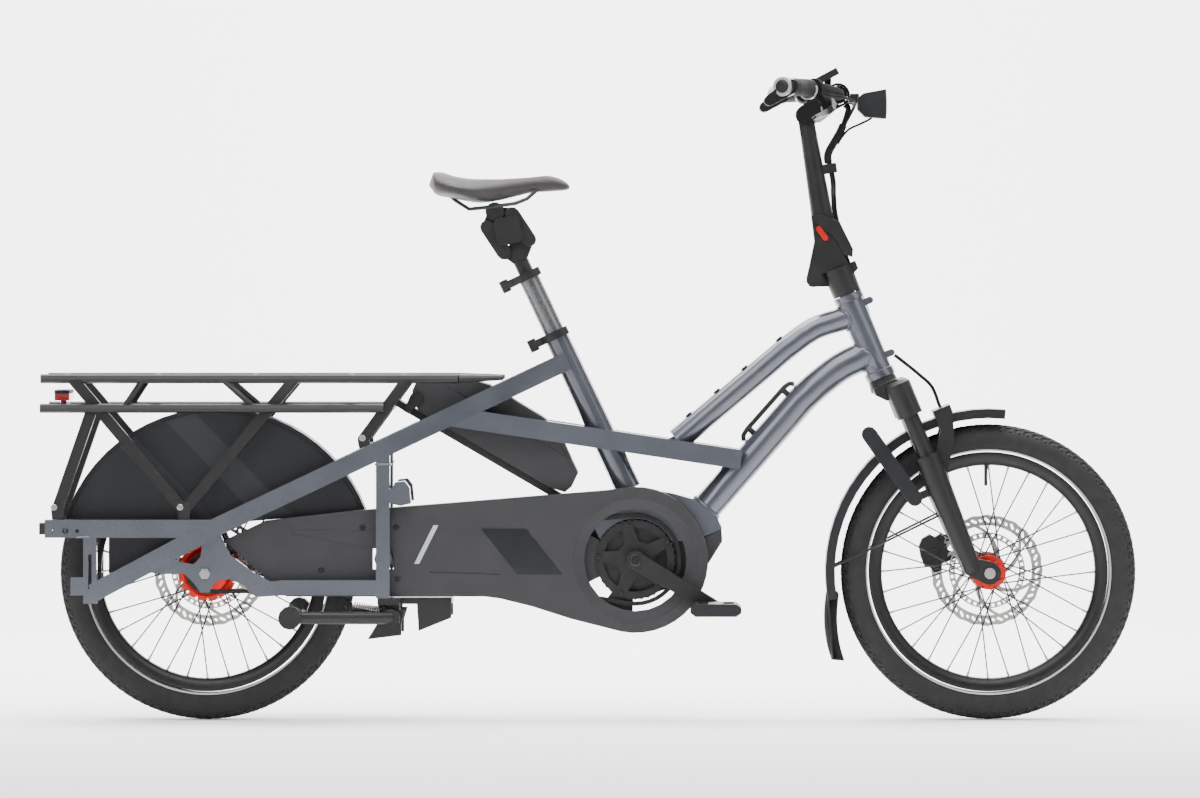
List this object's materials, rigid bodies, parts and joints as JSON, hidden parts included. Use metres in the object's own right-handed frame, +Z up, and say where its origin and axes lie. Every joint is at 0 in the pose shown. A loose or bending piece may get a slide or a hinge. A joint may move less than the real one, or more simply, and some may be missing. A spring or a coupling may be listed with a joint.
{
  "type": "longtail cargo bicycle",
  "caption": "Compact longtail cargo bike with mid motor, chain case, battery, tail rack, folding handlepost, suspension fork, suspension seatpost and centre stand",
  "frame": {"origin": "On the ground under the middle of the bike's length, halfway between its sides", "axes": "+X points forward along the bike, +Y to the rider's left, +Z up"},
  "size_m": [1.9108, 0.6682, 1.1397],
  "materials": {
    "frame_paint": "satin metallic",
    "black_metal": "satin",
    "dark_plastic": "matte",
    "black_plastic": "matte",
    "black_rubber": "matte",
    "tyre_rubber": "matte",
    "bare_steel": "brushed",
    "red_anodised": "anodised",
    "red_lens": "gloss",
    "dark_chrome": "polished",
    "saddle_cover": "matte"
  },
  "bodies": {
    "frame": {"front_frame": "frame_paint", "rear_frame_right": "frame_paint", "rear_frame_left": "frame_paint", "rear_bumper_bar": "black_metal", "rear_rack": "black_metal", "tail_light": "red_lens", "battery_case": "dark_plastic", "battery_cradle": "black_metal", "motor_unit": "dark_plastic", "chain_case_outer": "dark_plastic", "drive_chain": "bare_steel", "rear_mudguard": "black_plastic", "wheel_guard_right": "black_plastic", "wheel_guard_left": "black_plastic", "kickstand_bracket": "black_metal", "kickstand_spring": "bare_steel", "rear_caliper": "black_metal", "rear_axle": "bare_steel"},
    "steering": {"fork_upper": "black_metal", "handlepost_base": "black_metal", "bar_cables": "black_rubber"},
    "fork_slider": {"fork_lowers": "black_metal", "front_mudguard": "black_plastic", "front_caliper": "black_metal", "fork_unit": "dark_plastic", "front_hose": "black_rubber", "front_axle": "bare_steel"},
    "front_wheel": {"front_tyre": "tyre_rubber", "front_rim": "black_metal", "front_hub": "red_anodised", "front_disc": "bare_steel"},
    "rear_wheel": {"rear_tyre": "tyre_rubber", "rear_rim": "black_metal", "rear_hub": "red_anodised", "rear_disc": "bare_steel"},
    "crankset": {"crank_right": "black_metal", "crank_left": "black_metal", "chainring": "black_metal"},
    "pedal_body_right": {"pedal_right": "black_plastic"},
    "pedal_body_left": {"pedal_left": "black_plastic"},
    "handlepost_body": {"handlepost": "black_metal"},
    "latch_body": {"latch_lever": "black_metal"},
    "button_body": {"latch_button": "red_anodised"},
    "bars": {"stem": "black_metal", "handlebar": "black_metal", "grip_right": "black_rubber", "grip_left": "black_rubber", "display": "dark_plastic", "headlight": "dark_plastic"},
    "brake_lever_body_right": {"brake_lever_right": "black_metal"},
    "brake_lever_body_left": {"brake_lever_left": "black_metal"},
    "sleeve_body": {"seat_sleeve": "dark_chrome"},
    "seatpost_body": {"seatpost": "black_metal"},
    "lower_clamp_lever": {"seat_lever_lower": "black_metal"},
    "upper_clamp_lever": {"seat_lever_upper": "black_metal"},
    "link_rear_body": {"seat_link_rear": "black_metal"},
    "link_front_body": {"seat_link_front": "black_metal"},
    "seat_body": {"seat_head": "black_metal", "saddle": "saddle_cover"},
    "kickstand_body": {"kickstand": "black_metal"}
  },
  "joints": [
    {"name": "steer_turn", "type": "hinge", "parent": "frame", "child": "steering", "pos_m": [0.51045, 0, 0.59753], "axis": [-0.3778, 0, 0.9259], "range_deg": [-60, 60], "deforming": ["bar_cables", "front_hose"]},
    {"name": "fork_compression", "type": "slide", "parent": "steering", "child": "fork_slider", "axis": [-0.3778, 0, 0.9259], "range_m": [0, 0.055], "stiffness_N_per_m": 9000, "springref_m": -0.035, "deforming": ["front_hose"]},
    {"name": "front_wheel_spin", "type": "hinge", "parent": "fork_slider", "child": "front_wheel", "pos_m": [0.6974, 0, 0.258], "axis": [0, 1, 0], "continuous": true},
    {"name": "rear_wheel_spin", "type": "hinge", "parent": "frame", "child": "rear_wheel", "pos_m": [-0.6676, 0, 0.258], "axis": [0, 1, 0], "continuous": true},
    {"name": "crank_spin", "type": "hinge", "parent": "frame", "child": "crankset", "pos_m": [0.0804, 0, 0.281], "axis": [0, 1, 0], "continuous": true},
    {"name": "pedal_spin_right", "type": "hinge", "parent": "crankset", "child": "pedal_body_right", "pos_m": [0.21998, -0.13, 0.19878], "axis": [0, 1, 0], "continuous": true},
    {"name": "pedal_spin_left", "type": "hinge", "parent": "crankset", "child": "pedal_body_left", "pos_m": [-0.05918, 0.13, 0.36322], "axis": [0, 1, 0], "continuous": true},
    {"name": "handlepost_fold", "type": "hinge", "parent": "steering", "child": "handlepost_body", "pos_m": [0.39154, 0, 0.76718], "axis": [0, -1, 0], "range_deg": [0, 95], "deforming": ["bar_cables"]},
    {"name": "latch_open", "type": "hinge", "parent": "handlepost_body", "child": "latch_body", "pos_m": [0.3989, 0, 0.8749], "axis": [0, -1, 0], "range_deg": [0, 50], "deforming": ["bar_cables"]},
    {"name": "button_press", "type": "slide", "parent": "handlepost_body", "child": "button_body", "axis": [0, 1, 0], "range_m": [0, 0.003], "stiffness_N_per_m": 600, "springref_m": -0.003},
    {"name": "bar_tilt", "type": "hinge", "parent": "handlepost_body", "child": "bars", "pos_m": [0.37754, 0, 1.05684], "axis": [0, 1, 0], "range_deg": [-10, 10], "deforming": ["bar_cables"]},
    {"name": "brake_pull_right", "type": "hinge", "parent": "bars", "child": "brake_lever_body_right", "pos_m": [0.41419, -0.182, 1.07073], "axis": [-0.7368, 0.2919, -0.6098], "range_deg": [0, 14], "stiffness_Nm_per_rad": 1.5, "springref_deg": -11.46},
    {"name": "brake_pull_left", "type": "hinge", "parent": "bars", "child": "brake_lever_body_left", "pos_m": [0.41419, 0.182, 1.07073], "axis": [0.7368, 0.2919, 0.6098], "range_deg": [0, 14], "stiffness_Nm_per_rad": 1.5, "springref_deg": -11.46},
    {"name": "sleeve_height", "type": "slide", "parent": "frame", "child": "sleeve_body", "axis": [-0.4269, 0, 0.9043], "range_m": [-0.09, 0.06]},
    {"name": "seatpost_height", "type": "slide", "parent": "sleeve_body", "child": "seatpost_body", "axis": [-0.4269, 0, 0.9043], "range_m": [-0.02, 0.06]},
    {"name": "lower_clamp_open", "type": "hinge", "parent": "frame", "child": "lower_clamp_lever", "pos_m": [-0.09704, 0, 0.65034], "axis": [0.4269, 0, -0.9043], "range_deg": [0, 120]},
    {"name": "upper_clamp_open", "type": "hinge", "parent": "sleeve_body", "child": "upper_clamp_lever", "pos_m": [-0.14592, 0, 0.75388], "axis": [0.4269, 0, -0.9043], "range_deg": [0, 120]},
    {"name": "suspension_travel", "type": "hinge", "parent": "seatpost_body", "child": "link_rear_body", "pos_m": [-0.1491, 0, 0.816], "axis": [0, -1, 0], "range_deg": [0, 25], "stiffness_Nm_per_rad": 60, "springref_deg": -8.59},
    {"name": "link_follow", "type": "hinge", "parent": "seatpost_body", "child": "link_front_body", "pos_m": [-0.1057, 0, 0.8387], "axis": [0, -1, 0], "range_deg": [0, 25]},
    {"name": "head_level", "type": "hinge", "parent": "link_rear_body", "child": "seat_body", "pos_m": [-0.1786, 0, 0.8606], "axis": [0, -1, 0], "range_deg": [-25, 0]},
    {"name": "kickstand_swing", "type": "hinge", "parent": "frame", "child": "kickstand_body", "pos_m": [-0.3446, 0, 0.181], "axis": [0, -1, 0], "range_deg": [0, 95], "deforming": ["kickstand_spring"]}
  ],
  "couplings": [
    {"joint": "link_follow", "follows": "suspension_travel", "ratio": 1},
    {"joint": "head_level", "follows": "suspension_travel", "ratio": -1}
  ]
}
